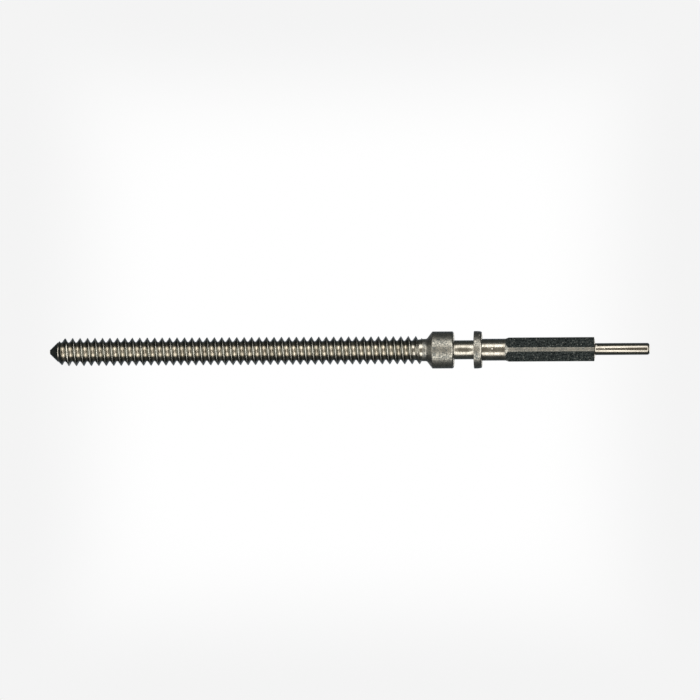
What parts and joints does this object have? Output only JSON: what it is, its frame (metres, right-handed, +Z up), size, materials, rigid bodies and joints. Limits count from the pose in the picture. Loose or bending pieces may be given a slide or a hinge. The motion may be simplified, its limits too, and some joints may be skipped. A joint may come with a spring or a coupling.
{
  "type": "watch stem",
  "caption": "Winding stem of a mechanical watch: a long thread for the crown, a collar and slot for the setting lever, a pinion seat, a driving square and a thin pilot.",
  "frame": {"origin": "on the stem's axis at the inner end of the bearing collar, where the setting lever's slot begins", "axes": "+X along the axis from the crown's thread to the pilot, +Z up, with the square's four edges on +Y, +Z, -Y and -Z"},
  "size_m": [0.0181, 0.0012, 0.0012],
  "materials": {
    "bright_steel": "fine turned",
    "matt_steel": "matt, tumbled after turning",
    "milled_steel": "dark, milled and hardened"
  },
  "bodies": {
    "root": {"lead_point": "milled_steel", "thread_lead_in": "bright_steel", "crown_thread": "bright_steel", "thread_run_out": "bright_steel", "relief_flare": "matt_steel", "bearing_collar": "matt_steel", "setting_lever_neck": "bright_steel", "slot_flange": "matt_steel", "pinion_seat": "bright_steel", "clutch_square": "milled_steel", "pilot_pivot": "bright_steel"}
  },
  "joints": []
}
